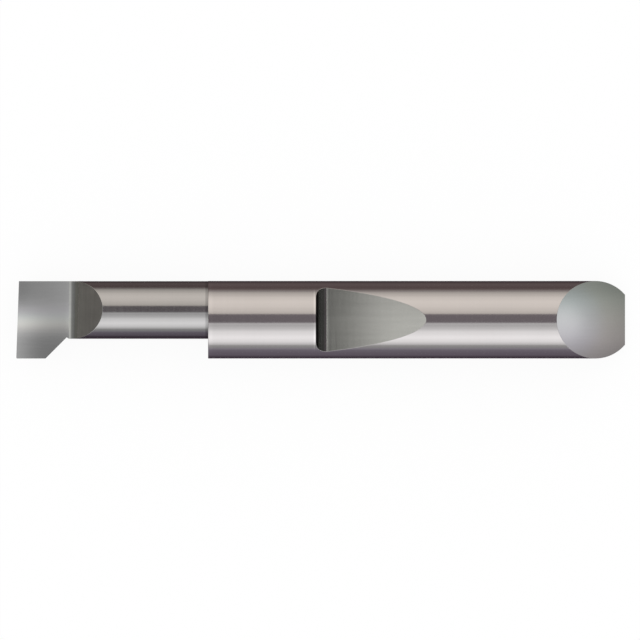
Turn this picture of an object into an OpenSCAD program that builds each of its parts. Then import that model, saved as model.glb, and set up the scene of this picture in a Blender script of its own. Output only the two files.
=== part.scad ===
// One-piece ground threading tool: a round shank with a locking notch and a rear bevel,
// an offset neck, and a half-round cutting head whose tip points along -Y.
// X runs along the shank's axis towards the rear, and X = 0 is the front of the shank.
// Z is square to the rake face, which lies in the plane Z = 0 through the shank's axis.

/* [Shank] */
// Diameter of the round shank
shank_d = 7.94; // [7:0.01:10]
// Length of the shank, from its front shoulder to its rear end
shank_len = 42.7; // [36:0.1:60]
// Chamfer that breaks the sharp edge of the front shoulder
edge_break = 0.06; // [0.02:0.01:0.15]

/* [Neck] */
// Diameter of the neck
neck_d = 5.9; // [4.5:0.05:6.5]
// Length from the cutting tip to the front of the shank
tip_reach = 19.65; // [16:0.05:30]
// Step left between neck and shank on the side where they are flush
flush_step = 0.02; // [0.01:0.01:0.1]

/* [Cutting tip] */
// Distance that the tip stands out from the side of the neck
tip_projection = 2.02; // [1:0.01:2.4]
// Width of the cutting edge along the tip
tip_w = 3; // [1.5:0.05:5]
// Radius on both corners of the tip
corner_r = 0.12; // [0.05:0.01:0.3]
// Angle by which the front edge leans back from square
front_lead = 2; // [0:0.5:5]
// Angle between the tool's axis and the back edge of the tip
back_angle = 45; // [30:1:60]

/* [Clearance grinds] */
// Clearance angle of the front face
front_relief = 8; // [4:1:12]
// Clearance angle of the back edge
back_relief = 6; // [4:1:12]
// Clearance angle of the land along the cutting edge
land_relief = 8; // [4:1:10]
// Height of that land
land_h = 0.9; // [0.4:0.05:1.2]
// Clearance angle at which the rounded belly leaves the land
belly_relief = 20; // [18:1:30]
// Depth of the belly below the underside of the neck
belly_proud = 0.35; // [0.1:0.05:0.6]
// Stock left behind the tip for the back edge's own grind
back_stock = 0.1; // [0.05:0.01:0.2]
// Depth of the nick that this grind leaves in the neck
nick_depth = 0.14; // [0.05:0.01:0.25]
// Angle at which the nick climbs back to the neck
nick_angle = 30; // [20:1:45]

/* [Rake cut] */
// Length of the rake face past the root of the back edge
rake_overrun = 0.37; // [0.3:0.05:1.5]
// Angle at which the rake cut climbs out through the neck
runout_angle = 45; // [30:1:60]
// Corner radius of the grinding wheel, left where a cut turns upwards
wheel_r = 1; // [0.4:0.05:1.5]

/* [Locking notch] */
// Distance from the front of the shank to the notch's upright wall
notch_pos = 11.05; // [6:0.05:14]
// Length of the notch, from its wall to where its flat runs out
notch_len = 11.3; // [8:0.1:13]
// Slope of the notch's flat
notch_angle = 9.5; // [6:0.5:12]

/* [Rear bevel] */
// Slope of the locating bevel on the rear end
bevel_angle = 45; // [40:1:60]
// Height of the end face left below the bevel
end_land = 0.94; // [0.5:0.01:2]

/* [Hidden] */
$fn = 96;

// How far cutters, and stock that is cut back, reach past the tool on every side
past = 2 * shank_d;

// Turn of the shank about its axis, which keeps the seam line of its wall clear of the notch
seam_turn = 30;

// Slight angle at which a corner's round meets the faces beside it
corner_kink = 3;

shank_r = shank_d / 2;
neck_r = neck_d / 2;
neck_y = shank_r - neck_r - flush_step;
neck_side = neck_y - neck_r;

tip_x = -tip_reach;
tip_y = neck_side - tip_projection;
tip_back_x = tip_x + tip_w;

// The back edge meets the side of the neck at its root, and its grind goes on to the nick
back_root_x = tip_back_x + tip_projection / tan(back_angle);
nick_x = back_root_x + nick_depth / tan(back_angle);

// The belly is round, starts at the foot of the land and bottoms out below the neck
land_foot = [tip_y + land_h * tan(land_relief), -land_h];
belly_r = (neck_r + belly_proud - land_h) / (1 - sin(belly_relief));
belly_centre = land_foot + belly_r * [cos(belly_relief), sin(belly_relief)];

rake_end_x = back_root_x + rake_overrun;
notch_tip_x = notch_pos + notch_len;
bevel_x = shank_len - (shank_d - end_land) / tan(bevel_angle);

// Plan direction of each cutting edge: the tool lies on its left-hand side
front_dir = -90 - front_lead;
tip_dir = 0;
back_dir = back_angle;

// The unit vector that points out of the face ground below an edge
function face_out(dir, relief) =
    [sin(dir) * cos(relief), -cos(dir) * cos(relief), -sin(relief)];

// A round bar along X, centred on the point [Y, Z]
module bar(r, from_x, to_x, centre = [0, 0]) {
    translate([from_x, centre[0], centre[1]])
        rotate([0, 90, 0])
            cylinder(h = to_x - from_x, r = r);
}

// A profile drawn in X and Z, carried right across the tool along Y
module across() {
    rotate([90, 0, 0])
        linear_extrude(height = 2 * past, center = true)
            children();
}

// What is ground off outside the edge through [x, y], with clearance below it
module grind_face(x, y, dir, relief) {
    translate([x, y, 0])
        rotate([0, 0, dir])
            rotate([relief, 0, 0])
                translate([-past, -2 * past, -past])
                    cube(2 * past);
}

// What is ground off to round the corner at [x, y] between two ground faces
module grind_corner(x, y, out_1, out_2) {
    turn = acos(out_1 * out_2);
    along = cross(out_1, out_2) / sin(turn);
    side = cross(along, out_1);
    inwards = -corner_r * cos(corner_kink) * (out_1 + out_2) / (1 + cos(turn));
    translate([x, y, 0])
        multmatrix([
            [out_1.x, side.x, along.x, inwards.x],
            [out_1.y, side.y, along.y, inwards.y],
            [out_1.z, side.z, along.z, inwards.z],
            [0, 0, 0, 1]
        ])
            linear_extrude(height = past, center = true)
                difference() {
                    polygon(2 * corner_r * [
                        [0, 0],
                        [1, 0],
                        [1, tan(turn / 2)],
                        [cos(turn), sin(turn)]
                    ]);
                    circle(r = corner_r);
                }
}

// The shank, with the edge of its front shoulder broken
module shank() {
    rotate([seam_turn, 0, 0]) {
        bar(shank_r, edge_break, shank_len);
        rotate([0, 90, 0])
            cylinder(h = edge_break, r1 = shank_r - edge_break, r2 = shank_r);
    }
}

// The neck is ground about its own axis, beside the shank's, and runs on under the head
module neck() {
    bar(neck_r, tip_x - past, neck_r, [neck_y, 0]);
}

// The stock of the tip beside the neck, ended at the back by a cone about the neck's axis
module tip_stock() {
    stock_x = back_root_x + back_stock;
    stock_len = stock_x - tip_x + past;
    intersection() {
        bar(belly_r, stock_x - stock_len, stock_x, belly_centre);
        translate([stock_x - stock_len, neck_y, 0])
            rotate([0, 90, 0])
                cylinder(h = stock_len, r1 = neck_r + stock_len * tan(back_angle), r2 = neck_r);
    }
}

// The tip with the land below its cutting edge
module tip() {
    difference() {
        tip_stock();
        grind_face(tip_x, tip_y, tip_dir, land_relief);
    }
}

// The wheel's wedge that relieves the back edge, nicks the neck and climbs out of it
module grind_back() {
    translate([nick_x, neck_side + nick_depth, 0])
        rotate([0, 0, back_dir])
            rotate([back_relief, 0, 0])
                rotate([0, 0, -back_dir])
                    linear_extrude(height = past, center = true)
                        polygon(past * [
                            [0, 0],
                            [-cos(back_angle), -sin(back_angle)],
                            [cos(nick_angle), -sin(nick_angle)]
                        ]);
}

// What is ground off to open the rake face, with the wheel's corner where it turns up
module grind_rake() {
    climb = past * [cos(runout_angle), sin(runout_angle)];
    centre = [rake_end_x, wheel_r];
    leave = centre + wheel_r * [sin(runout_angle), -cos(runout_angle)];
    across() {
        polygon([
            [tip_x - past, 0],
            [rake_end_x, 0],
            centre,
            leave,
            leave + climb,
            [tip_x - past, (leave + climb).y]
        ]);
        translate(centre)
            circle(r = wheel_r);
    }
}

// The whistle notch: an upright wall, the wheel's corner and a flat that slopes up rearwards
module grind_notch() {
    slope = [cos(notch_angle), sin(notch_angle)];
    // The wheel's centre is one radius from the wall and one from the flat
    centre_z = shank_r - (notch_len - wheel_r) * tan(notch_angle) + wheel_r / cos(notch_angle);
    centre = [notch_pos + wheel_r, centre_z];
    leave = centre + wheel_r * [slope.y, -slope.x];
    top = shank_r + wheel_r;
    across() {
        polygon([
            [notch_pos, top],
            [notch_pos, centre_z],
            centre,
            leave,
            [notch_tip_x, shank_r] + wheel_r * slope,
            [notch_tip_x + wheel_r, top]
        ]);
        translate(centre)
            circle(r = wheel_r);
    }
}

// The bevel that locates the tool endwise, sloping down to the end face
module grind_bevel() {
    climb = past * [cos(bevel_angle), -sin(bevel_angle)];
    across()
        polygon([
            [bevel_x, shank_r] - climb,
            [bevel_x, shank_r] + climb,
            [bevel_x + past, shank_r] + [climb.x, -climb.y]
        ]);
}

// The whole tool is one bar of ground carbide
module threading_tool() {
    color("darkgray")
        difference() {
            union() {
                shank();
                neck();
                tip();
            }
            grind_face(tip_x, tip_y, front_dir, front_relief);
            grind_back();
            grind_corner(tip_x, tip_y,
                face_out(front_dir, front_relief), face_out(tip_dir, land_relief));
            grind_corner(tip_back_x, tip_y,
                face_out(tip_dir, land_relief), face_out(back_dir, back_relief));
            grind_rake();
            grind_notch();
            grind_bevel();
        }
}

threading_tool();
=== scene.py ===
"""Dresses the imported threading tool: one ground solid-carbide bar, seen straight from above."""

import math

import bpy
import numpy as np
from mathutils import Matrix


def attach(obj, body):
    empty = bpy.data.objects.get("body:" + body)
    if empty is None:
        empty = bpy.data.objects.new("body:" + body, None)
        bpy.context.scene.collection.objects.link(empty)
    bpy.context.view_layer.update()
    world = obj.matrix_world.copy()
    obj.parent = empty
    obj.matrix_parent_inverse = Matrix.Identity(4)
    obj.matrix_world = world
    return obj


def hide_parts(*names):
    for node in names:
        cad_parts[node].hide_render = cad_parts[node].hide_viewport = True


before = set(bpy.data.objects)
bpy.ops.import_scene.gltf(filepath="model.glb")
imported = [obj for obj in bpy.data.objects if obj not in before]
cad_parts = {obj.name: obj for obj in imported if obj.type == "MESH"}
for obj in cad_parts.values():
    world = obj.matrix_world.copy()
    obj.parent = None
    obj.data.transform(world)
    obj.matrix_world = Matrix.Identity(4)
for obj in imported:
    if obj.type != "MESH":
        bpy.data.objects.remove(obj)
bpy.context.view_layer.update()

bl_info = {
    "name": "Ground threading tool",
    "version": (1, 0, 0),
    "blender": (4, 5, 0),
    "location": "View3D > Sidebar > Threading Tool",
    "description": "Builds a one-piece ground threading tool and the light tent it is shown in",
    "category": "Object",
}

NODE = "threading_tool"
MM = 0.001


# ---------------- sizes and finishes


def length(name, text, millimetres):
    """A length property whose default is given in millimetres."""
    return bpy.props.FloatProperty(
        name=name, description=text, default=millimetres * MM, unit="LENGTH",
        subtype="DISTANCE", precision=5)


def angle(name, text, degrees):
    """An angle property whose default is given in degrees."""
    return bpy.props.FloatProperty(
        name=name, description=text, default=math.radians(degrees), unit="ROTATION",
        subtype="ANGLE")


def colour(name, text, rgb):
    """A colour property."""
    return bpy.props.FloatVectorProperty(
        name=name, description=text, default=rgb, size=3, min=0.0, max=1.0, subtype="COLOR")


def factor(name, text, value):
    """A plain number property that runs from 0 to 1."""
    return bpy.props.FloatProperty(
        name=name, description=text, default=value, min=0.0, max=1.0, subtype="FACTOR")


class ToolSizes(bpy.types.PropertyGroup):
    """Sizes of the tool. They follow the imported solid, but its edges have finer breaks, and
    the runout's corner, crease and skew follow the photograph."""

    shank_d: length("Shank diameter", "Diameter of the round shank", 7.94)
    shank_len: length("Shank length", "From the front shoulder to the rear end", 42.7)
    shoulder_break: length("Shoulder break", "Chamfer on the front shoulder", 0.06)
    neck_d: length("Neck diameter", "Diameter of the neck", 5.9)
    neck_y: length("Neck offset", "Offset of the neck's axis towards +Y", 1.0)
    tip_x: length("Tip end", "Place of the tip's front corner along X", -19.65)
    tip_y: length("Tip reach", "Place of the cutting edge along Y", -3.97)
    tip_w: length("Edge width", "Width of the cutting edge", 3.0)
    corner_r: length("Corner radius", "Radius on the corners of the tip", 0.12)
    front_lead: angle("Front lead", "Angle by which the front edge leans back", 2)
    front_relief: angle("Front relief", "Clearance angle of the front face", 8)
    land_relief: angle("Land relief", "Clearance angle of the land", 8)
    land_h: length("Land height", "Height of the land below the cutting edge", 0.9)
    belly_relief: angle("Belly relief", "Clearance angle where the belly starts", 20)
    belly_proud: length("Belly depth", "Depth of the belly below the neck", 0.35)
    back_relief: angle("Back relief", "Clearance angle of the back edge", 6)
    back_stock: length("Back stock", "Stock left behind the back edge's grind", 0.1)
    nick_depth: length("Nick depth", "Depth of the nick beside the root", 0.14)
    nick_angle: angle("Nick angle", "Angle at which the nick climbs out", 30)
    rake_overrun: length("Rake overrun", "Rake face past the root of the back edge", 0.37)
    runout_angle: angle("Runout angle", "Angle of the rake cut's runout", 45)
    runout_r: length("Runout corner", "Radius where the rake cut turns upwards", 1.55)
    runout_crease: angle("Runout crease", "Angle at which that corner leaves the rake face", 6)
    runout_skew: angle("Runout skew", "Angle by which the runout leans back on +Y", 1.9)
    wheel_r: length("Notch corner", "Radius in the notch's corner", 1.0)
    notch_x: length("Notch wall", "Place of the notch's upright wall", 11.05)
    notch_len: length("Notch length", "From the wall to the end of the flat", 11.3)
    notch_angle: angle("Notch angle", "Slope of the notch's flat", 9.5)
    end_land: length("End land", "Height of the end face below the bevel", 0.94)
    edge_break: length("Edge break", "Size of the break on the ground edges", 0.015)
    hone: length("Hone", "Size of the break on the head's edges", 0.03)


class FinishSettings(bpy.types.PropertyGroup):
    """Colours and roughness of the ground faces."""

    shank_colour: colour("Shank", "Polished wall of the shank", (0.6, 0.585, 0.58))
    neck_colour: colour("Neck", "Ground wall of the neck and belly", (0.48, 0.48, 0.475))
    rake_colour: colour("Rake face", "Lapped rake face", (0.6, 0.6, 0.6))
    runout_colour: colour("Runout", "Runout of the rake cut", (0.46, 0.46, 0.44))
    notch_colour: colour("Notch", "Ground faces of the notch", (0.58, 0.585, 0.565))
    # The corner's darker colour is painted shade in the notch's corner; its roughness is its own
    corner_colour: colour("Notch corner", "Dull upper half of the notch's corner",
                          (0.5, 0.5, 0.48))
    bevel_colour: colour("Bevel", "Locating bevel", (0.6, 0.6, 0.6))
    face_colour: colour("End faces", "Clearance and end faces", (0.66, 0.65, 0.64))
    shank_roughness: factor("Shank roughness", "Roughness of the polished wall", 0.12)
    neck_roughness: factor("Neck roughness", "Roughness of the neck", 0.14)
    rake_roughness: factor("Rake roughness", "Roughness of the rake face", 0.09)
    runout_roughness: factor("Runout roughness", "Roughness of the runout", 0.34)
    notch_roughness: factor("Notch roughness", "Roughness of the notch", 0.12)
    corner_roughness: factor("Corner roughness", "Roughness of the notch's corner", 0.32)
    bevel_roughness: factor("Bevel roughness", "Roughness of the bevel", 0.12)
    face_roughness: factor("Face roughness", "Roughness of the clearance faces", 0.42)


class StudioSettings(bpy.types.PropertyGroup):
    """Floor, light tent and camera."""

    view_width: length("View width", "Width of the picture at the tool", 65.55)
    view_x: length("View centre X", "What the camera looks at, along X", 11.461)
    view_y: length("View centre Y", "What the camera looks at, along Y", -0.026)
    tent_radius: length("Tent radius", "Radius of the light tent", 150.0)
    warm: colour("Warm sheet", "Colour of the tent's sheet on the +Y side", (1.0, 0.925, 0.865))
    cool: colour("Cool sheet", "Colour of the tent's sheet on the -Y side", (1.0, 0.985, 0.995))
    slot: colour("Slot", "Colour of the slot for the lens", (1.0, 0.88, 0.95))
    window: colour("Window", "Colour of the window in front of the head", (1.0, 0.985, 0.95))


# ---------------- surfaces

# Points that round to the same multiple of this length are one point
WELD = 1e-8
# Steps across a round or a broken edge
ROUND_STEPS = 4


def next_corners(sizes):
    """For faces of these corner counts laid end to end: where each face starts, and for
    each corner the next one round its own face."""
    starts = np.cumsum(sizes) - sizes
    following = np.arange(sizes.sum()) + 1
    following[starts + sizes - 1] = starts
    return starts, following


def placed(name, data):
    """A new object with this data, in the scene."""
    obj = bpy.data.objects.new(name, data)
    bpy.context.scene.collection.objects.link(obj)
    return obj


class Skin:
    """Gathers grids and flat faces, then welds them into one closed mesh."""

    def __init__(self):
        self.points = []
        self.normals = []
        self.faces = []
        self.finishes = []
        self.loops = []
        self.count = 0

    def keep(self, points, normals):
        """Stores the points with their normals, and returns the first one's number."""
        first = self.count
        self.points.append(points.reshape(-1, 3))
        self.normals.append(np.broadcast_to(normals, points.shape).reshape(-1, 3))
        self.count += points.size // 3
        return first

    def grid(self, points, normals, finish):
        """A grid of quads through rows and columns of points, turned to face its normals."""
        n = np.broadcast_to(normals, points.shape)
        at = self.keep(points, n) + np.arange(points.size // 3).reshape(points.shape[:2])
        quads = np.stack([at[:-1, :-1], at[:-1, 1:], at[1:, 1:], at[1:, :-1]], -1)
        out = np.cross(points[1:, 1:] - points[:-1, :-1], points[1:, :-1] - points[:-1, 1:])
        if np.sum(out * (n[:-1, :-1] + n[:-1, 1:] + n[1:, 1:] + n[1:, :-1])) < 0:
            quads = quads[..., ::-1]
        self.faces.append(quads.reshape(-1, 4))
        self.finishes.append(np.full(quads.size // 4, finish))

    def flat(self, loop, normal, finish):
        """One flat face round a closed loop of points, turned to face its normal."""
        out = np.cross(loop, np.roll(loop, -1, axis=0)).sum(axis=0)
        if out @ normal < 0:
            loop = loop[::-1]
        first = self.keep(loop, normal)
        self.loops.append((np.arange(first, first + len(loop)), finish))

    def build(self, name, materials):
        """Welds equal points, drops folded faces and returns the mesh's object."""
        points = np.concatenate(self.points)
        normals = np.concatenate(self.normals)
        _, keep, weld = np.unique(
            np.round(points / WELD).astype(np.int64), axis=0,
            return_index=True, return_inverse=True)
        weld = weld.reshape(-1)
        corners = np.concatenate([f.reshape(-1) for f in self.faces] + [c for c, _ in self.loops])
        sizes = np.concatenate(
            [np.full(len(f), 4) for f in self.faces] + [[len(c)] for c, _ in self.loops])
        finishes = np.concatenate(self.finishes + [[k] for _, k in self.loops])
        # A corner stays unless the next corner of its own face is the same welded point
        following = next_corners(sizes)[1]
        stays = weld[corners] != weld[corners[following]]
        face_of = np.repeat(np.arange(len(sizes)), sizes)
        left = np.bincount(face_of[stays], minlength=len(sizes))
        stays &= left[face_of] > 2
        corners, sizes, finishes = corners[stays], left[left > 2], finishes[left > 2]
        used, vertices = np.unique(weld[corners], return_inverse=True)

        # The skin is closed when each edge is run through once each way
        starts, following = next_corners(sizes)
        there = vertices * len(used) + vertices[following]
        back = vertices[following] * len(used) + vertices
        if len(np.unique(there)) != len(there) or not np.array_equal(np.sort(there), np.sort(back)):
            raise RuntimeError("the tool's skin isn't closed")

        mesh = bpy.data.meshes.new(name)
        mesh.vertices.add(len(used))
        mesh.vertices.foreach_set("co", points[keep][used].astype(np.float32).reshape(-1))
        mesh.loops.add(len(vertices))
        mesh.loops.foreach_set("vertex_index", vertices.astype(np.int32))
        mesh.polygons.add(len(sizes))
        mesh.polygons.foreach_set("loop_start", starts.astype(np.int32))
        for material in materials:
            mesh.materials.append(material)
        mesh.polygons.foreach_set("material_index", finishes.astype(np.int32))
        mesh.update(calc_edges=True)
        if mesh.validate(clean_customdata=False):
            raise RuntimeError("the tool's skin had faces that Blender can't use")
        mesh.shade_smooth()
        mesh.normals_split_custom_set(normals[corners])
        return placed(name, mesh)


def unit(vectors):
    """Scales each vector to length one."""
    return vectors / np.linalg.norm(vectors, axis=-1, keepdims=True)


def triple(x, y, z):
    """Stacks three arrays, broadcast to one shape, into points."""
    return np.stack(np.broadcast_arrays(x, y, z), axis=-1)


def round_wall(x, turn, radius, axis_y=0.0):
    """Points on a round wall: y and z are the radius times the sine and the cosine of the
    turn from the top towards +Y, about a line along X at y = axis_y."""
    return triple(x, axis_y + radius * np.sin(turn), radius * np.cos(turn))


def radial(points, axis_y=0.0):
    """The normal of a round wall at each point: straight out from its axis."""
    return unit(points * [0.0, 1.0, 1.0] - [0.0, axis_y, 0.0])


def round_shares(start):
    """Even shares from 0 to 1 across a round, shaped to multiply arrays like `start`."""
    return np.linspace(0.0, 1.0, ROUND_STEPS + 1).reshape(-1, *[1] * start.ndim)


def curve_between(start, corner, end):
    """A parabola from start to end whose two end tangents meet in the corner:
    (1 - s)^2 start + 2 s (1 - s) corner + s^2 end, for s from 0 to 1."""
    s = round_shares(start)
    return (1 - s) ** 2 * start + 2 * s * (1 - s) * corner + s**2 * end


def turn_between(start, end):
    """Normals that turn evenly from start to end."""
    s = round_shares(start)
    return unit((1 - s) * start + s * end)


def break_edge(edge, flat_n, wall_n, size, axis_y=0.0):
    """Breaks the sharp edge between a flat and a round wall. The flat side moves from the
    edge into the flat by the size, the wall side moves along the wall by the size, and a
    parabola joins them. Returns the rows of points and of normals, the flat side first."""
    lean = np.sum(flat_n * wall_n, axis=-1, keepdims=True)
    size = np.reshape(size, (-1, 1))
    inward = edge - size * unit(wall_n - lean * flat_n)
    outward = edge - size * unit(flat_n - lean * wall_n)
    radius = np.linalg.norm((edge - [0, axis_y, 0]) * [0, 1, 1], axis=-1, keepdims=True)
    outward = radial(outward, axis_y) * radius + outward * [1, 0, 0] + [0, axis_y, 0]
    return curve_between(inward, edge, outward), turn_between(flat_n, wall_n)


def mirrored(points):
    """The same points on the other side of the tool's middle plane."""
    return points * [1.0, -1.0, 1.0]


# The finishes, in the order in which tool_finishes returns them
SHANK, NECK, RAKE, RUNOUT, NOTCH, CORNER, BEVEL, FACE = range(8)

# Steps of the grids: round and along the walls, and along the edges of the cuts
WALL_COLS, WALL_ROWS = 110, 24
NOTCH_WALL_STEPS, NOTCH_CORNER_STEPS, NOTCH_FLAT_STEPS = 14, 16, 48
RUNOUT_CORNER_STEPS, RUNOUT_STEPS, BEVEL_STEPS = 8, 60, 60
# The head's columns on the neck, the belly and the land, and its rows along the wall, down
# the slope behind it, through the nick and along the tail
HEAD_COLS, HEAD_ROWS = (60, 70, 8), (8, 12, 3, 3)

# The largest share of the shoulder's step that its chamfer takes
CHAMFER_SHARE = 0.8
# The bevel's break fades over BEVEL_FADE times its size, and the end face's over
# 1 / END_FADE of its length
BEVEL_FADE, END_FADE = 4, 20


def notch_profile(z):
    """The notch's edge on one side, from the top of its upright wall to the end of its flat.
    The wall's part runs round the shank at the wall's X, the corner's part follows the
    wheel's round corner, and the flat's part follows its slope up to the shank's top.
    Returns for each point its X, its turn about the shank and the flat side's normal, and
    then the number of points on the wall and on the corner."""
    r = z.shank_d / 2
    slope = z.notch_angle
    centre_z = r - (z.notch_len - z.wheel_r) * math.tan(slope) + z.wheel_r / math.cos(slope)
    wall_turn = math.acos(centre_z / r)
    upright = np.linspace(0.0, wall_turn, NOTCH_WALL_STEPS + 1)
    corner = np.linspace(0.0, math.pi / 2 + slope, NOTCH_CORNER_STEPS + 1)[1:]
    corner_x = z.notch_x + z.wheel_r * (1 - np.cos(corner))
    corner_turn = np.arccos((centre_z - z.wheel_r * np.sin(corner)) / r)
    flat_turn = np.linspace(corner_turn[-1], 0.0, NOTCH_FLAT_STEPS + 1)[1:]
    flat_x = z.notch_x + z.notch_len - r * (1 - np.cos(flat_turn)) / math.tan(slope)
    x = np.concatenate([np.full(len(upright), z.notch_x), corner_x, flat_x])
    turn = np.concatenate([upright, corner_turn, flat_turn])
    lean = np.concatenate([np.zeros(len(upright)), corner, np.full(len(flat_x), corner[-1])])
    return x, turn, triple(np.cos(lean), 0.0, np.sin(lean)), len(upright), len(corner)


def shank_skin(skin, z):
    """The shank. Its wall is a round wall whose rows run from one side of the notch or bevel
    round the underside to the other side, so that the edges of both cuts are grid lines.
    Returns the ring where its shoulder meets the neck."""
    r = z.shank_d / 2
    x, turn, flat_n, n_up, n_corner = notch_profile(z)
    edge = round_wall(x, turn, r)
    rounds, round_n = break_edge(edge, flat_n, radial(edge), z.edge_break)
    skin.grid(rounds, round_n, SHANK)
    skin.grid(mirrored(rounds), mirrored(round_n), SHANK)
    inner, outer = rounds[0], rounds[-1]

    # The front of the wall has the notch wall's own columns on top
    t = np.linspace(0.0, 1.0, WALL_COLS + 1)
    top = turn[:n_up]
    around = np.concatenate([top, (top[-1] + (2 * np.pi - 2 * top[-1]) * t)[1:-1],
                             2 * np.pi - top[::-1]])
    around[-1] = 0.0
    last = round_wall(outer[n_up - 1, 0], around, r)
    last[:n_up] = outer[:n_up]
    last[-n_up:] = mirrored(outer[:n_up])[::-1]
    rim = round_wall(0.0, around, r)
    # How far the shoulder steps down to the neck's circle, along the shank's own radius
    step = r - z.neck_y * np.sin(around) - np.sqrt(
        (z.neck_d / 2) ** 2 - (z.neck_y * np.cos(around)) ** 2)
    neck_end = rim * (1 - step / r)[:, None]
    size = np.minimum(z.shoulder_break, CHAMFER_SHARE * step)[:, None]
    shoulder_n = np.array([-1.0, 0.0, 0.0])
    inset = rim - size * radial(rim)
    back = rim - size * shoulder_n
    skin.grid(np.stack([neck_end, inset]), shoulder_n, FACE)
    skin.grid(curve_between(inset, rim, back),
              turn_between(np.broadcast_to(shoulder_n, rim.shape), radial(rim)), SHANK)
    along = np.linspace(0.0, 1.0, WALL_ROWS + 1)[:, None, None]
    front = back + (last - back) * along
    skin.grid(front, radial(front), SHANK)

    # Beside the notch
    def band(side):
        """The wall from one side of a cut round the underside to the other."""
        start = np.arctan2(side[:, 1:2], side[:, 2:])
        points = round_wall(side[:, :1], start + (2 * np.pi - 2 * start) * t, r)
        points[:, 0] = side
        points[:, -1] = mirrored(side)
        return points

    notch_band = band(outer[n_up - 1:])
    skin.grid(notch_band, radial(notch_band), SHANK)

    # The bevel's edge, whose break fades out where it meets the end face
    end_turn = math.acos(z.end_land / r - 1)
    bevel_turn = np.linspace(0.0, end_turn, BEVEL_STEPS + 1)
    bevel_x = z.shank_len - (z.shank_d - z.end_land) + r * (1 - np.cos(bevel_turn))
    bevel_n = unit(np.array([1.0, 0.0, 1.0]))
    fade = np.clip((z.shank_len - bevel_x) / (BEVEL_FADE * z.edge_break), 0.0, 1.0)
    bevel_edge = round_wall(bevel_x, bevel_turn, r)
    bevel_round, bevel_round_n = break_edge(
        bevel_edge, np.broadcast_to(bevel_n, bevel_edge.shape), radial(bevel_edge),
        z.edge_break * fade)
    skin.grid(bevel_round, bevel_round_n, SHANK)
    skin.grid(mirrored(bevel_round), mirrored(bevel_round_n), SHANK)

    # From the notch to the bevel, and along the bevel
    first = notch_band[-1]
    bevel_band = band(bevel_round[-1])
    between = first + (bevel_band[0] - first) * along
    skin.grid(between, radial(between), SHANK)
    ease = z.edge_break * np.clip(np.minimum(t, 1 - t) * END_FADE, 0.0, 1.0)[:, None]
    end_n = np.array([1.0, 0.0, 0.0])
    rim = bevel_band[-1].copy()
    bevel_band[-1] = rim - ease * end_n
    skin.grid(bevel_band, radial(bevel_band), SHANK)
    end_round = curve_between(bevel_band[-1], rim, rim - ease * radial(rim))
    skin.grid(end_round, turn_between(radial(rim), np.broadcast_to(end_n, rim.shape)), SHANK)

    # Flat faces
    skin.flat(end_round[-1], end_n, FACE)
    skin.flat(np.concatenate([bevel_round[0], mirrored(bevel_round[0])[-1:0:-1]]),
              bevel_n, BEVEL)
    wall = np.concatenate([inner[:n_up], mirrored(inner[:n_up])[:0:-1]])
    skin.flat(wall, end_n, NOTCH)
    half = n_up + n_corner // 2
    for part, finish in ((slice(n_up - 1, half), CORNER),
                         (slice(half - 1, n_up + n_corner), NOTCH)):
        skin.grid(np.stack([inner[part], mirrored(inner[part])], axis=1),
                  np.stack([flat_n[part]] * 2, axis=1), finish)
    flat = inner[n_up + n_corner - 1:]
    skin.flat(np.concatenate([flat, mirrored(flat)[-2::-1]]), flat_n[-1], NOTCH)
    return neck_end


def plane_reach(normal, point, x, down, neck_y):
    """How far a ray in the plane of constant X runs from the neck's axis to a plane. `down`
    is the ray's angle below -Y; the plane goes through the point, square to the normal."""
    gap = normal @ point - normal[0] * x - normal[1] * neck_y
    return gap / (-normal[1] * np.cos(down) - normal[2] * np.sin(down))


def face_out(direction, relief):
    """The unit vector out of the face ground below an edge that runs in a plan direction."""
    return np.array([math.sin(direction) * math.cos(relief),
                     -math.cos(direction) * math.cos(relief), -math.sin(relief)])


# The back edge and the cone behind it run at this angle to the tool's axis. The back edge's
# grind ends at the second angle, below -Y, and only the cone goes on
BACK_ANGLE, FLANK_END = math.pi / 4, math.pi / 3
# The front's corner radius narrows to the hone over this share of the land's angle
CORNER_FADE = 0.6
# The back edge's break as a share of the front's, the most of the slope that it takes, and
# its reach down that slope
BACK_SHARE, SLOPE_SHARE, SLOPE_REACH = 0.4, 0.35, 0.7
# The nick ends at least this far before the rake cut's runout
TAIL_GAP = 0.01 * MM
# The runout's break as a share of the hone. It is full at 1 / RUNOUT_FADE of the corner
RUNOUT_BREAK, RUNOUT_FADE = 0.8, 2


def head_columns(z):
    """The angles below -Y of the head's columns, from +Y round the underside to -Y, and
    the belly's circle. Grid lines fall on the foot of the land and where belly meets neck."""
    foot = np.array([z.tip_y + z.land_h * math.tan(z.land_relief), -z.land_h])
    neck_r = z.neck_d / 2
    belly_r = (neck_r + z.belly_proud - z.land_h) / (1 - math.sin(z.belly_relief))
    centre = foot + belly_r * np.array([math.cos(z.belly_relief), math.sin(z.belly_relief)])
    from_neck = np.array([z.neck_y, 0.0]) - centre
    land_foot = math.atan2(-foot[1], z.neck_y - foot[0])
    # On the neck's circle: |from_neck|^2 + neck_r^2 - belly_r^2 = 2 neck_r (from_neck . ray)
    far = math.hypot(*from_neck)
    share = (far**2 + neck_r**2 - belly_r**2) / (2 * neck_r * far)
    meet = math.acos(share) + math.atan2(from_neck[1], from_neck[0])
    stops = (math.pi, meet, land_foot, 0.0)
    parts = [np.linspace(a, b, n + 1)[:-1] for a, b, n in zip(stops, stops[1:], HEAD_COLS)]
    return np.concatenate(parts + [[0.0]]), centre, belly_r


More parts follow.
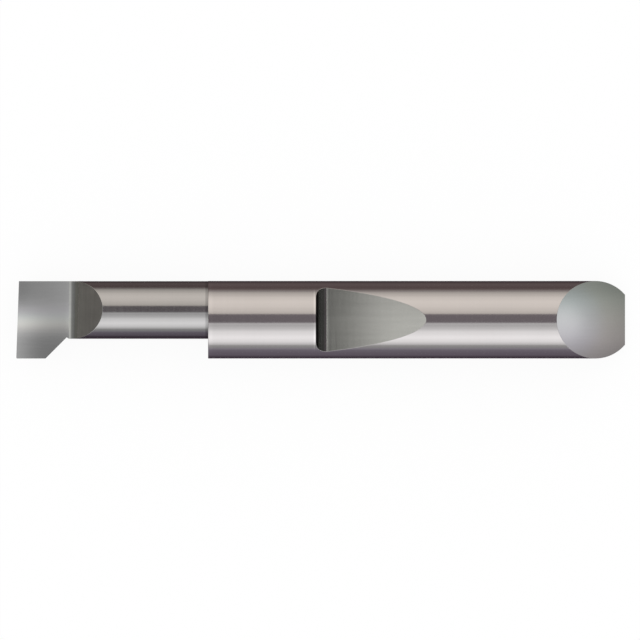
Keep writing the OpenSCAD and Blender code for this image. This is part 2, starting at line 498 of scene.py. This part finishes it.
def head_skin(skin, z, down, centre, belly_r):
    """The head below the rake face, as reach from the neck's axis over X and the angle down:
    the smaller of the land's plane, the back edge's grind and the larger of neck and belly,
    with a cone behind it. Rows follow the front face and the back edge. Returns the rake
    cut's last row, where the neck's own rows start."""
    neck_r = z.neck_d / 2
    tip = np.array([z.tip_x, z.tip_y, 0.0])
    tip_back = tip + [z.tip_w, 0.0, 0.0]
    root_x = tip_back[0] + (z.neck_y - neck_r - z.tip_y)
    cone_x = root_x + z.back_stock
    front_n = face_out(-math.pi / 2 - z.front_lead, z.front_relief)
    land_n = face_out(0.0, z.land_relief)
    flank_n = face_out(BACK_ANGLE, z.back_relief)
    nick_point = np.array([root_x + z.nick_depth, z.neck_y - neck_r + z.nick_depth, 0.0])
    # The nick's face is spanned by `lean`, the grind's upright, and the line it climbs along
    along = np.array([math.cos(BACK_ANGLE), math.sin(BACK_ANGLE), 0.0])
    side = np.array([-math.sin(BACK_ANGLE), math.cos(BACK_ANGLE), 0.0])
    up = np.array([0.0, 0.0, 1.0])
    climb = BACK_ANGLE + z.nick_angle
    lean = -side * math.sin(z.back_relief) + up * math.cos(z.back_relief)
    level = side * math.cos(z.back_relief) + up * math.sin(z.back_relief)
    nick_n = unit(np.cross(lean, along * math.cos(climb) - math.sin(climb) * level))
    nick_n = nick_n if nick_n[1] < 0 else -nick_n

    ray = np.stack([-np.cos(down), -np.sin(down)])
    from_neck = np.array([z.neck_y, 0.0]) - centre
    dot = from_neck @ ray
    belly = -dot + np.sqrt(dot**2 - from_neck @ from_neck + belly_r**2)
    land = plane_reach(land_n, tip, 0.0, down, z.neck_y)
    body = np.minimum(np.maximum(neck_r, belly), np.where(land > 0, land, np.inf))
    n_neck, n_belly, _ = HEAD_COLS
    body[:n_neck + 1] = neck_r

    def flank(x):
        return plane_reach(flank_n, tip_back, x, down, z.neck_y)

    def nick(x):
        return plane_reach(nick_n, nick_point, x, down, z.neck_y)

    def cone(x):
        return neck_r + cone_x - x

    # How fast each plane's reach falls or climbs along X
    flank_0, nick_0 = flank(0.0), nick(0.0)
    flank_fall, nick_climb = flank_0 - flank(1.0), nick(1.0) - nick_0
    crest = np.minimum(cone_x - (body - neck_r), (flank_0 - body) / flank_fall)
    apex = (flank_0 - nick_0) / (flank_fall + nick_climb)
    nicked = (nick_0 + nick_climb * apex < neck_r) & (down < FLANK_END)
    foot = np.where(nicked, apex, np.minimum(cone_x, (flank_0 - neck_r) / flank_fall))
    end_x = root_x + z.rake_overrun
    out = np.where(nicked, (neck_r - nick_0) / nick_climb, foot)
    out = np.minimum(out, end_x - TAIL_GAP)
    on_neck = np.arange(len(down)) <= n_neck
    crest = np.where(on_neck, cone_x, np.minimum(crest, foot))
    foot = np.where(on_neck, cone_x, foot)
    out = np.where(on_neck, cone_x, out)

    def point(x, reach):
        return triple(x, z.neck_y - reach * np.cos(down), -reach * np.sin(down))

    def slope_reach(x):
        slope = np.minimum(cone(x), np.where(down < FLANK_END, flank(x), np.inf))
        return np.where(on_neck, neck_r, np.minimum(slope, body))

    wall_n = radial(point(0.0, body), z.neck_y)
    belly_n = unit((point(0.0, body) - [0, *centre]) * [0, 1, 1])
    parts = (
        (slice(0, n_neck + 1), wall_n),
        (slice(n_neck, n_neck + n_belly + 1), belly_n),
        (slice(n_neck + n_belly, None), np.broadcast_to(land_n, wall_n.shape)),
    )
    land_foot = down[n_neck + n_belly]
    on_land = np.clip((land_foot * (1 + CORNER_FADE) - down) / (land_foot * CORNER_FADE), 0, 1)
    front_size = z.hone + (z.corner_r - z.hone) * on_land
    back_size = np.minimum(BACK_SHARE * front_size, SLOPE_SHARE * (foot - crest))

    def front_x(reach):
        y, depth = z.neck_y - reach * np.cos(down), -reach * np.sin(down)
        return tip[0] - (front_n[1] * (y - tip[1]) + front_n[2] * depth) / front_n[0]

    inset = point(front_x(body - front_size), body - front_size)
    corner = point(front_x(body), body)
    start = front_x(body) + front_size
    crest_at = point(crest, body)
    before = crest - back_size
    after = crest + SLOPE_REACH * back_size
    after_at = point(after, slope_reach(after))
    middle = 0.5 * (crest + foot)
    on_cone = (cone(middle) < flank(middle)) | (down > FLANK_END)
    slope_n = np.where(on_cone[:, None], unit(wall_n + [1.0, 0.0, 0.0]), flank_n)

    def rows(a, b, steps):
        return a + (b - a) * np.linspace(0.0, 1.0, steps + 1)[:, None]

    # Each part starts on the last row of the one before
    stops = (start, before), (after, foot), (foot, out), (out, np.full(len(down), end_x))
    wall_x, slope_x, nick_x, tail_x = (
        rows(a, b, steps) for (a, b), steps in zip(stops, HEAD_ROWS))
    wall_at = point(wall_x, body)
    slope_at = point(slope_x, slope_reach(slope_x))
    nick_at = point(nick_x, np.where(nicked, np.minimum(nick(nick_x), neck_r), neck_r))
    slope_at[-1] = nick_at[0]
    tail_at = point(tail_x, neck_r)
    tail_at[0] = nick_at[-1]
    for part, part_n in parts:
        n = part_n[part]
        finish = FACE if part.stop is None else NECK
        skin.grid(curve_between(inset[part], corner[part], wall_at[0, part]),
                  turn_between(np.broadcast_to(front_n, n.shape), n), FACE)
        skin.grid(wall_at[:, part], n, finish)
        skin.grid(curve_between(wall_at[-1, part], crest_at[part], after_at[part]),
                  turn_between(n, slope_n[part]), FACE)
        skin.grid(np.concatenate([after_at[None, part], slope_at[1:, part]]), slope_n[part], FACE)
        skin.grid(nick_at[:, part], nick_n, FACE)
        skin.grid(tail_at[:, part], wall_n[part], NECK)

    skin.flat(inset, front_n, FACE)

    def side_of(column):
        """One column of the head from front to back, as an edge of the rake face."""
        front = curve_between(inset[column], corner[column], wall_at[0, column])
        crest_round = curve_between(wall_at[-1, column], crest_at[column], after_at[column])
        return np.concatenate([
            front, wall_at[1:, column], crest_round[1:], slope_at[1:, column],
            nick_at[1:, column], tail_at[1:, column]])

    skin.flat(np.concatenate([side_of(-1), side_of(0)[::-1]]), up, RAKE)
    return tail_at[-1]


def neck_skin(skin, z, columns, joint, shoulder):
    """The neck: a round wall about its own axis whose rows start on the edge of the rake
    cut's runout, so that this edge is a grid line, and end at the shank's shoulder. The
    runout leans back on +Y: the distance from the axis times the skew is added to X."""
    r = z.neck_d / 2
    wheel = z.runout_r
    rake_end = joint[0, 0]
    climb = z.runout_angle
    corner = np.linspace(z.runout_crease, climb, RUNOUT_CORNER_STEPS + 1)
    corner_x = rake_end + wheel * (np.sin(corner) - math.sin(z.runout_crease))
    corner_z = wheel * (math.cos(z.runout_crease) - np.cos(corner))
    corner_turn = np.arccos(corner_z / r)
    slope_turn = np.linspace(corner_turn[-1], 0.0, RUNOUT_STEPS + 1)[1:]
    slope_x = corner_x[-1] + (r * np.cos(slope_turn) - corner_z[-1]) / math.tan(climb)
    turn = np.concatenate([corner_turn, slope_turn])
    x = np.concatenate([corner_x, slope_x])
    lean = np.concatenate([corner, np.full(len(slope_x), climb)])
    flat_n = triple(-np.sin(lean), 0.0, np.cos(lean))
    edge = round_wall(x, turn, r, z.neck_y)
    share = (lean - z.runout_crease) / (climb - z.runout_crease)
    size = RUNOUT_BREAK * z.hone * np.clip(RUNOUT_FADE * share, 0.0, 1.0)
    rounds, round_n = break_edge(edge, flat_n, radial(edge, z.neck_y), size, z.neck_y)
    skew = math.tan(z.runout_skew) * share

    def other(points):
        """The same points on the other side of the neck's middle plane."""
        return (points - [0, z.neck_y, 0]) * [1, -1, 1] + [0, z.neck_y, 0]

    def skewed(points, skew=skew):
        return points + triple(skew * (points[..., 1] - z.neck_y), 0.0, 0.0)

    skin.grid(skewed(rounds), round_n, NECK)
    skin.grid(skewed(other(rounds)), round_n * [1, -1, 1], NECK)
    outer = rounds[-1]
    start = np.arctan2(outer[:, 1:2] - z.neck_y, outer[:, 2:])
    around = start + (2 * np.pi - 2 * start) * columns
    wall = round_wall(outer[:, :1], around, r, z.neck_y)
    wall[:, 0] = outer
    wall[:, -1] = other(outer)
    wall = skewed(wall, skew[:, None])
    wall[0] = joint
    skin.grid(wall, radial(wall, z.neck_y), NECK)
    end_around = np.unwrap(np.arctan2(shoulder[:, 1] - z.neck_y, shoulder[:, 2]))
    s = np.linspace(0.0, 1.0, WALL_ROWS + 1)[:, None]
    rear = round_wall((1 - s) * wall[-1, :, 0], (1 - s) * around[-1] + s * end_around,
                      r, z.neck_y)
    rear[0], rear[-1] = wall[-1], shoulder
    skin.grid(rear, radial(rear, z.neck_y), NECK)
    inner, inner_other = skewed(rounds[0]), skewed(other(rounds[0]))
    inner[0], inner_other[0] = joint[0], joint[-1]
    flat_n = unit(flat_n + triple(0.0, skew * np.sin(lean), 0.0))
    n = len(corner)
    skin.grid(np.stack([inner[:n], inner_other[:n]], axis=1),
              np.stack([flat_n[:n]] * 2, axis=1), NOTCH)
    skin.flat(np.concatenate([inner[n - 1:], inner_other[-2:n - 2:-1]]), flat_n[-1], RUNOUT)


# ---------------- shader nodes


def feed(tree, socket, value):
    """Links another node's socket to this one, or sets this one to a constant."""
    if isinstance(value, bpy.types.NodeSocket):
        tree.links.new(value, socket)
    else:
        socket.default_value = value


def add(tree, kind, label, **inputs):
    """Adds a node and feeds its inputs by name."""
    node = tree.nodes.new(kind)
    node.label = label
    for name, value in inputs.items():
        feed(tree, node.inputs[name.replace("_", " ")], value)
    return node


def places(tree):
    """The piece's own coordinates: the point in metres, and its X, Y and Z in millimetres."""
    point = tree.nodes.new("ShaderNodeTexCoord").outputs["Object"]
    scale = tree.nodes.new("ShaderNodeVectorMath")
    scale.operation = "SCALE"
    scale.inputs["Scale"].default_value = 1 / MM
    tree.links.new(point, scale.inputs[0])
    split = add(tree, "ShaderNodeSeparateXYZ", "Millimetres", Vector=scale.outputs["Vector"])
    return point, [split.outputs[axis] for axis in "XYZ"]


def maths(tree, operation, *values):
    """A Math node; a value is a socket or a number."""
    node = tree.nodes.new("ShaderNodeMath")
    node.operation = operation
    for socket, value in zip(node.inputs, values):
        feed(tree, socket, value)
    return node.outputs["Value"]


def ramp(tree, value, stops, easing="LINEAR"):
    """Colours by a value. A stop is a value and its colour, where a plain number is a grey."""
    low, high = stops[0][0], stops[-1][0]
    node = tree.nodes.new("ShaderNodeValToRGB")
    node.color_ramp.interpolation = easing
    elements = node.color_ramp.elements
    while len(elements) < len(stops):
        elements.new(1.0)
    for element, (at, rgb) in zip(elements, stops):
        element.position = (at - low) / (high - low)
        element.color = [*np.broadcast_to(rgb, 3), 1.0]
    spread = add(tree, "ShaderNodeMapRange", "Between the end stops", Value=value,
                 From_Min=low, From_Max=high)
    tree.links.new(spread.outputs["Result"], node.inputs["Fac"])
    return node.outputs["Color"]


def blend(tree, share, first, second, kind="MIX"):
    """Mixes two colours by a share, which is a socket or a number."""
    node = tree.nodes.new("ShaderNodeMix")
    node.data_type = "RGBA"
    node.blend_type = kind
    node.clamp_factor = True
    node.clamp_result = False
    for at, value in ((0, share), (6, first), (7, second)):
        feed(tree, node.inputs[at], value)
    return node.outputs[2]


def scaled(rgb, level):
    """A colour at a level."""
    return [c * level for c in rgb]


def stretched_noise(tree, point, scale, detail, label):
    """Noise on the piece's own coordinates, stretched by a different scale on each axis."""
    mapping = add(tree, "ShaderNodeMapping", label, Vector=point, Scale=scale)
    noise = add(tree, "ShaderNodeTexNoise", label, Vector=mapping.outputs["Vector"],
                Scale=1.0, Detail=detail, Roughness=0.55)
    return noise.outputs["Fac"]


# ---------------- finishes

# The ranges of the noise that change roughness and shade
ROUGH_RANGE, SHADE_RANGE = (0.3, 0.7), (0.35, 0.65)
# A band of painted shade and highlight begins over this height above and below its own,
# in millimetres
BAND_SOFTNESS = 0.3


def ground_metal(name, base, roughness, lines, cloud, depth, spread, shade, bands=()):
    """Ground carbide: fine grinding lines that carry the bump, part of the roughness and a
    faint shade, and a faint cloudiness in colour. `lines` and `cloud` are noise scales in
    cycles a metre, `depth` is in micrometres, and `spread` and `shade` are shares of the
    roughness and the colour. Each band is a height and a ramp of painted shade and highlight
    along X above it."""
    material = bpy.data.materials.new(name)
    material.use_nodes = True
    tree = material.node_tree
    shader = tree.nodes["Principled BSDF"]
    shader.inputs["Metallic"].default_value = 1.0
    point, (x, _, z) = places(tree)
    fine = stretched_noise(tree, point, lines, 3.0, "Grinding lines")
    wide = stretched_noise(tree, point, cloud, 2.0, "Cloudiness")

    rough = add(tree, "ShaderNodeMapRange", "Roughness of the lines", Value=fine,
                From_Min=ROUGH_RANGE[0], From_Max=ROUGH_RANGE[1],
                To_Min=roughness * (1 - spread), To_Max=roughness * (1 + spread))
    tree.links.new(rough.outputs["Result"], shader.inputs["Roughness"])

    both = maths(tree, "MULTIPLY", maths(tree, "ADD", fine, wide), 0.5)
    tone = ramp(tree, both, list(zip(
        SHADE_RANGE, (scaled(base, 1 - shade), scaled(base, 1 + shade)))))
    for height, stops in bands:
        over = add(tree, "ShaderNodeMapRange", "Above a height", Value=z,
                   From_Min=height - BAND_SOFTNESS, From_Max=height + BAND_SOFTNESS)
        tone = blend(tree, over.outputs["Result"], tone, ramp(tree, x, stops), "MULTIPLY")
    tree.links.new(tone, shader.inputs["Base Color"])

    bump = add(tree, "ShaderNodeBump", "Line depth", Strength=1.0, Height=fine,
               Distance=depth * MM * MM)
    tree.links.new(bump.outputs["Normal"], shader.inputs["Normal"])
    return material


def tool_finishes(f, z):
    """The tool's finishes, from SHANK to FACE. Lines run round the turned walls, and across
    the flats as the wheel passed. Painted highlight lightens the shank behind its shoulder and
    at the notch's lip, painted shade darkens the neck in the shoulder's corner and the notch
    at its foot, and a painted reflection makes the notch's flat palest past half-way."""
    wall = z.notch_x / MM
    below = -z.shank_d / MM

    def from_wall(*stops):
        return [(wall + at, level) for at, level in stops]

    # Painted highlight: the shank is lighter just behind its shoulder
    shoulder = (below, [(-0.1, 1.06), (0.3, 1.06), (0.6, 1.0)])
    # Painted shade: the neck is darker in its corner before the shoulder
    shoulder_corner_shade = (below, [(-0.35, 1.0), (-0.2, 0.7), (0.0, 0.7)])
    # Painted highlight along the notch's lip, with a thin painted dark line at its edge
    lip_highlight = (2.5, from_wall((-0.4, 1.0), (-0.3, 1.0), (-0.15, 1.22), (-0.05, 1.25),
                          (-0.04, 0.45), (-0.01, 0.45), (0.0, 1.0)))
    # Painted shade: the notch's corner is darkest against its wall and half as bright past it
    corner_foot_shade = (below, from_wall((0.15, 0.03), (0.25, 0.26), (0.36, 0.5)))
    # Painted shade at the notch's foot, then a painted light line and painted reflection on the
    # flat
    notch_shade_and_highlight = (0.0, from_wall(
        (0.3, 0.7), (0.35, 0.85), (0.46, 0.85), (0.56, 0.48), (0.7, 0.47), (0.92, 0.52),
        (1.04, 0.42), (1.12, 1.0), (1.25, 1.15), (1.4, 0.93), (3.0, 0.93), (4.25, 0.98),
        (5.5, 1.03), (6.7, 1.06), (8.0, 1.05), (9.2, 1.0), (10.4, 0.93)))
    table = {
        "shank": ("ground_shank", (5200, 60, 60), (260, 260, 260), 0.02, 0.12, 0.012,
                  [shoulder, lip_highlight]),
        "neck": ("ground_neck", (6400, 80, 80), (300, 300, 300), 0.03, 0.15, 0.015, [shoulder_corner_shade]),
        "rake": ("lapped_rake", (300, 5200, 300), (240, 240, 240), 0.01, 0.1, 0.02),
        "runout": ("ground_runout", (5600, 160, 5600), (500, 900, 500), 0.06, 0.12, 0.08),
        "notch": ("ground_notch", (5200, 250, 5200), (120, 1300, 120), 0.02, 0.08, 0.07, [notch_shade_and_highlight]),
        "corner": ("dull_corner", (5200, 250, 5200), (420, 700, 420), 0.05, 0.1, 0.05, [corner_foot_shade]),
        "bevel": ("ground_bevel", (300, 5200, 300), (260, 320, 260), 0.01, 0.08, 0.02),
        "face": ("ground_face", (3800, 3800, 500), (420, 420, 420), 0.02, 0.08, 0.04),
    }
    return [ground_metal(name, getattr(f, part + "_colour"), getattr(f, part + "_roughness"), *rest)
            for part, (name, *rest) in table.items()]


# ---------------- stage

# The base card lies just below the tool, and the floor just below the card
CARD_GAP, FLOOR_GAP = 0.01 * MM, 0.03 * MM
# Half the width of the floor, and half the tent's length
FLOOR_REACH, TENT_REACH = 2.0, 0.4
# The tent comes down to this angle from straight up, in degrees, on both sides
TENT_TURN, TENT_STEPS = 100, 96
# The tent's end cards, with their places along X and their light
END_CARDS = (("front_card", -0.25, (0.24, 0.235, 0.215, 1)),
             ("far_card", 0.25, (0.06, 0.06, 0.058, 1)))
# The card behind the bevel and the panel above the head reach SIDE to both sides
REAR_X, REAR_TOP, REAR_SIDE = 58 * MM, 9 * MM, 22 * MM
PANEL_FRONT, PANEL_REAR, PANEL_Z, PANEL_SIDE = -60 * MM, -13 * MM, 25 * MM, 14 * MM
# The middle of the glow behind the bevel, in millimetres
GLOW_Y, GLOW_Z = -0.2, 3.4
# Share of the floor that is plain white. The rest takes the shadow
FLOOR_WHITE = 0.92
CAMERA_HEIGHT = 0.3


def staged(name, points, faces):
    """A stage mesh from points and faces."""
    mesh = bpy.data.meshes.new(name)
    mesh.from_pydata(points, [], faces)
    obj = placed(name, mesh)
    return obj


def sheet(name, first, last, side):
    """A flat sheet between two (X, Z) points, `side` wide to both sides of the tool."""
    points = [(x, y, z) for (x, z), y in (
        (first, -side), (last, -side), (last, side), (first, side))]
    return staged(name, points, [(0, 1, 2, 3)])


def tent_sheet(radius):
    """The light tent: part of a tube about the tool's axis. A point is the radius times the
    sine and cosine of its angle from straight up."""
    turn = np.radians(np.linspace(-TENT_TURN, TENT_TURN, TENT_STEPS + 1))
    points = round_wall(np.array([[-TENT_REACH], [TENT_REACH]]), turn[None], radius)
    at = np.arange(points.size // 3).reshape(points.shape[:2])
    faces = np.stack([at[0, :-1], at[0, 1:], at[1, 1:], at[1, :-1]], -1)
    return staged("light_tent", points.reshape(-1, 3), faces)


def bare_material(name):
    """A material with only its output, whose glow isn't sampled as a lamp."""
    material = bpy.data.materials.new(name)
    material.use_nodes = True
    material.cycles.emission_sampling = "NONE"
    tree = material.node_tree
    tree.nodes.clear()
    return material, tree, tree.nodes.new("ShaderNodeOutputMaterial").inputs["Surface"]


def light_up(obj, light):
    """Gives a sheet its own light, for the tool's reflections alone: it isn't seen and casts
    no shadow. `light` returns the colour, and the strength where it isn't 1, and takes the
    node tree and the sheet's X, Y and Z in millimetres."""
    material, tree, surface = bare_material(obj.name)
    lamp = tree.nodes.new("ShaderNodeEmission")
    tree.links.new(lamp.outputs["Emission"], surface)
    for socket, value in zip(lamp.inputs, light(tree, *places(tree)[1])):
        feed(tree, socket, value)
    obj.data.materials.append(material)
    for ray in ("camera", "diffuse", "shadow", "transmission", "volume_scatter"):
        setattr(obj, "visible_" + ray, False)


def tent_light(s, tree, x, y, z):
    """The tent's light by the angle from straight up: a warm sheet on the +Y side and a cool
    one on the -Y side. Between them is the slot for the lens, which is dim above the tool
    and closed by a bright window in front of the head."""
    degrees = maths(tree, "MULTIPLY", maths(tree, "ARCTAN2", y, z), 180 / math.pi)
    cool = [(-100, 0.33), (-90, 0.37), (-83, 0.42), (-76, 0.85), (-66, 1.16), (-54, 1.31),
            (-38, 1.14), (-24, 0.76), (-17, 0.62), (-11, 0.68)]
    warm = [(18, 0.74), (30, 0.88), (41, 0.98), (54, 1.02), (67, 0.94), (79, 0.74),
            (90, 0.54), (100, 0.34)]
    sheets = ramp(tree, degrees, [(at, scaled(s.cool, level)) for at, level in cool]
                  + [(at, scaled(s.warm, level)) for at, level in warm], "EASE")
    window = [(-60, 0.05), (-44, 0.05), (-39, 0.15), (-37.5, 0.28), (-36, 0.47), (-34.5, 0.69),
              (-33, 0.86), (-29, 0.9), (-26, 1.3), (-19.5, 1.3)]
    slot = [(-17.5, 0.15), (-2, 0.15), (1, 0.215), (46, 0.215)]
    above = ramp(tree, x, [(at, scaled(s.window, level)) for at, level in window]
                 + [(at, scaled(s.slot, level)) for at, level in slot]
                 + [(56, scaled(s.window, 0.12))])
    ahead = ramp(tree, x, [(-19.5, 1), (-17.5, 0)], "EASE")
    across = ramp(tree, y, [(-4.5, 0.66), (-2, 0.93), (-0.5, 1.07), (0.5, 1.06), (2, 0.76),
                            (4.5, 0.44)], "EASE")
    above = blend(tree, ahead, above, across, "MULTIPLY")
    inside = ramp(tree, degrees, [(-10.5, 0), (-8, 1), (15.5, 1), (18, 0)])
    return [blend(tree, inside, sheets, above)]


def shadow_card_light(tree, x, y, z):
    """The dark card under the tool, a sheet of painted shade for its reflections: warm on one
    side, cool on the other, and darkest beside the tool as a painted shadow.
    """
    return [ramp(tree, y, [
        (-60, (0.33, 0.31, 0.35)), (-24, (0.21, 0.185, 0.225)), (-11, (0.17, 0.145, 0.18)),
        (-6, (0.06, 0.045, 0.06)), (5, (0.05, 0.035, 0.04)), (10, (0.15, 0.115, 0.115)),
        (18, (0.13, 0.095, 0.095)), (60, (0.34, 0.3, 0.29))], "EASE")]


def head_light(tree, x, y, z):
    """The panel above the head. A soft lamp in front of the tip throws a streak back over the
    rake face. The level is the dot product of three levels along X (above, on and below the
    streak) and their weights across Y."""
    levels = ramp(tree, x, [
        (-60, 0.2), (-52, 0.25), (-37, 0.31), (-32, 0.36), (-28.5, (0.5, 0.5, 0.48)),
        (-25, (0.77, 0.95, 0.86)), (-20.4, (0.75, 0.92, 0.82)), (-19.7, (0.29, 1.12, 0.52)),
        (-19.2, (0.3, 1.1, 0.49)), (-18.2, (0.36, 0.93, 0.36)), (-17.2, (0.375, 0.76, 0.28)),
        (-16.2, (0.4, 0.65, 0.27)), (-15, (0.44, 0.6, 0.28)), (-14.4, (0.44, 0.6, 0.28)),
        (-14.1, (0.56, 0.88, 0.37)), (-13, (0.56, 0.88, 0.37))])
    streak = [(-3.0, 0.0), (-1.9, 0.05), (-1.1, 0.38), (-0.6, 0.91), (-0.3, 1.04), (0.2, 0.86),
              (0.6, 0.52), (1.0, 0.41), (1.4, 0.28), (1.8, 0.12), (2.5, 0.0)]
    weights = ramp(tree, y, [
        (at, (1 - w if at > 0 else 0.0, w, 1 - w if at < 0 else 0.0)) for at, w in streak])
    total = tree.nodes.new("ShaderNodeVectorMath")
    total.operation = "DOT_PRODUCT"
    tree.links.new(levels, total.inputs[0])
    tree.links.new(weights, total.inputs[1])
    tint = ramp(tree, y, [
        (-1.4, 1.0), (-0.7, (1.03, 1.0, 0.96)), (-0.2, (1.0, 1.01, 0.95)),
        (0.4, (0.97, 1.02, 1.01)), (0.9, (1.02, 0.98, 1.04)), (1.4, 1.0)])
    return [tint, total.outputs["Value"]]


def rear_light(tree, x, y, z):
    """The card behind the bevel: a soft round glow that is greenish on the +Y side, violet on
    the -Y side and darker to both sides."""
    y = maths(tree, "SUBTRACT", y, GLOW_Y)
    z = maths(tree, "SUBTRACT", z, GLOW_Z)
    out = maths(tree, "SQRT", maths(
        tree, "ADD", maths(tree, "MULTIPLY", y, y), maths(tree, "MULTIPLY", z, z)))
    near, far = (0.99, 1.0, 1.02), (1.03, 1.0, 0.93)
    level = ramp(tree, out, [(at, scaled(rgb, v)) for at, rgb, v in (
        (0.3, near, 0.98), (1.0, near, 0.94), (1.5, near, 0.87), (2.0, near, 0.78),
        (2.5, near, 0.69), (3.5, (1, 1, 1), 0.59), (4.5, far, 0.51), (6.0, far, 0.43),
        (9.0, far, 0.36), (14, far, 0.3))])
    tint = ramp(tree, y, [
        (-4, (0.74, 0.7, 0.76)), (-2.9, (0.86, 0.82, 0.87)), (-1.8, (1.0, 0.96, 1.0)),
        (0.2, 1.0), (2.2, (0.88, 0.95, 0.92)), (3.2, (0.71, 0.78, 0.75)),
        (4, (0.68, 0.74, 0.72))])
    return [blend(tree, 1.0, level, tint, "MULTIPLY")]


class THREADTOOL_OT_body(bpy.types.Operator):
    """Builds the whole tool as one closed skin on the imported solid's sizes"""

    bl_idname = "threadtool.body"
    bl_label = "Build the tool"

    def execute(self, context):
        z = context.scene.threadtool_sizes
        skin = Skin()
        down, centre, belly_r = head_columns(z)
        shoulder = shank_skin(skin, z)
        joint = head_skin(skin, z, down, centre, belly_r)
        neck_skin(skin, z, 1 - down / math.pi, joint, shoulder)
        tool = skin.build("ground_tool", tool_finishes(context.scene.threadtool_finish, z))
        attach(tool, "root")
        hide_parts(NODE)
        return {"FINISHED"}


class THREADTOOL_OT_stage(bpy.types.Operator):
    """Lays the floor, hangs the light tent and sets the camera above the tool"""

    bl_idname = "threadtool.stage"
    bl_label = "Set the stage"

    def execute(self, context):
        s = context.scene.threadtool_studio
        rest = -context.scene.threadtool_sizes.shank_d / 2
        self.floor(rest - FLOOR_GAP)
        self.tent(s, rest - CARD_GAP)
        self.world(context.scene)
        self.camera(context.scene, s)
        return {"FINISHED"}

    def floor(self, low):
        floor = sheet("floor", (-FLOOR_REACH, low), (FLOOR_REACH, low), FLOOR_REACH)
        material, tree, surface = bare_material("pale_floor")
        matt = add(tree, "ShaderNodeBsdfDiffuse", "Shadow", Color=(1.0, 1.0, 1.0, 1.0))
        white = add(tree, "ShaderNodeEmission", "White", Strength=1.0)
        mix = add(tree, "ShaderNodeMixShader", "Share of white", Fac=FLOOR_WHITE)
        tree.links.new(matt.outputs["BSDF"], mix.inputs[1])
        tree.links.new(white.outputs["Emission"], mix.inputs[2])
        tree.links.new(mix.outputs["Shader"], surface)
        floor.data.materials.append(material)

    def tent(self, s, low):
        high = s.tent_radius
        light_up(tent_sheet(high), lambda *at: tent_light(s, *at))
        light_up(sheet("base_card", (-TENT_REACH, low), (TENT_REACH, low), TENT_REACH), shadow_card_light)
        for name, x, colour in END_CARDS:
            light_up(sheet(name, (x, low), (x, high), high), lambda *at: [colour])
        light_up(sheet("rear_card", (REAR_X, low), (REAR_X, REAR_TOP), REAR_SIDE), rear_light)
        light_up(sheet("head_panel", (PANEL_FRONT, PANEL_Z), (PANEL_REAR, PANEL_Z), PANEL_SIDE),
                 head_light)

    def world(self, scene):
        world = bpy.data.worlds.new("white_room")
        world.use_nodes = True
        white = world.node_tree.nodes["Background"].inputs
        white["Color"].default_value, white["Strength"].default_value = (1, 1, 1, 1), 1.0
        scene.world = world

    def camera(self, scene, s):
        data = bpy.data.cameras.new("camera")
        data.type = "ORTHO"
        data.ortho_scale = s.view_width
        data.clip_start, data.clip_end = 0.001, 10.0
        camera = placed("camera", data)
        camera.location = (s.view_x, s.view_y, CAMERA_HEIGHT)
        scene.camera = camera
        scene.view_settings.view_transform = "Standard"


class THREADTOOL_PT_panel(bpy.types.Panel):
    """Lists the tool's sizes, finishes and building steps"""

    bl_label = "Threading Tool"
    bl_idname = "THREADTOOL_PT_panel"
    bl_space_type = "VIEW_3D"
    bl_region_type = "UI"
    bl_category = "Threading Tool"

    def draw(self, context):
        layout = self.layout
        for step in STEPS:
            layout.operator(step.bl_idname)
        scene = context.scene
        for group in (scene.threadtool_sizes, scene.threadtool_finish, scene.threadtool_studio):
            box = layout.box()
            for name in group.bl_rna.properties.keys():
                if name not in ("rna_type", "name"):
                    box.prop(group, name)


STEPS = (THREADTOOL_OT_body, THREADTOOL_OT_stage)
GROUPS = {
    "threadtool_sizes": ToolSizes,
    "threadtool_finish": FinishSettings,
    "threadtool_studio": StudioSettings,
}


def register():
    for group in GROUPS.values():
        bpy.utils.register_class(group)
    for step in (*STEPS, THREADTOOL_PT_panel):
        bpy.utils.register_class(step)
    for name, group in GROUPS.items():
        setattr(bpy.types.Scene, name, bpy.props.PointerProperty(type=group))


def unregister():
    for name in GROUPS:
        delattr(bpy.types.Scene, name)
    for kind in (THREADTOOL_PT_panel, *STEPS, *GROUPS.values()):
        bpy.utils.unregister_class(kind)


def main():
    register()
    bpy.ops.threadtool.body()
    bpy.ops.threadtool.stage()


if __name__ == "__main__":
    main()
